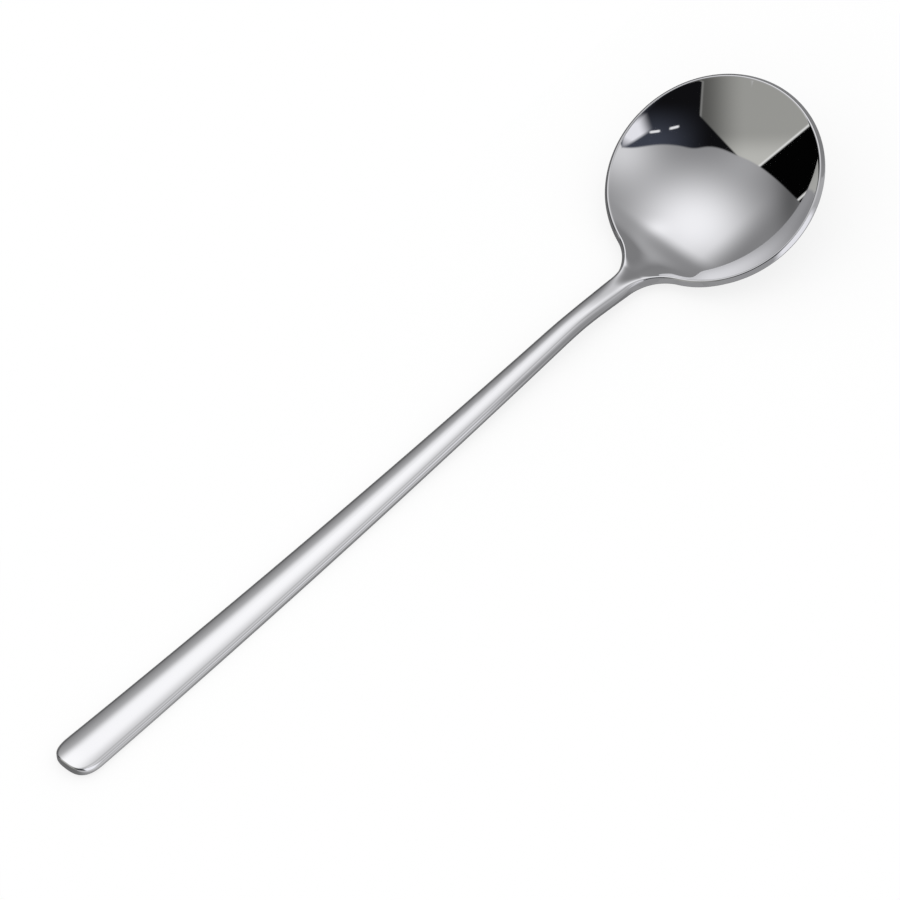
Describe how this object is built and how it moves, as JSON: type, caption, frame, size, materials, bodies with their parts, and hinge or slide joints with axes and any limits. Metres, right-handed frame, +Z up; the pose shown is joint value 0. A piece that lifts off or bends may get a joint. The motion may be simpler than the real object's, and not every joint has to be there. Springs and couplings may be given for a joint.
{
  "type": "demitasse spoon",
  "caption": "Small polished steel spoon with a round hollow bowl on a long, thin, domed handle, lying on its bowl and the flat under its handle.",
  "frame": {"origin": "bottom centre of the spoon as it lies on a table, halfway along its length", "axes": "+X along the handle towards the bowl's nose, +Y across the spoon to its left seen from the tip, +Z up"},
  "size_m": [0.1312, 0.029, 0.0113],
  "materials": {
    "mirror_steel": "mirror-polished stainless steel, not plated",
    "polished_steel": "polished stainless steel, not plated"
  },
  "bodies": {
    "root": {"bowl": "mirror_steel", "handle": "polished_steel"}
  },
  "joints": []
}
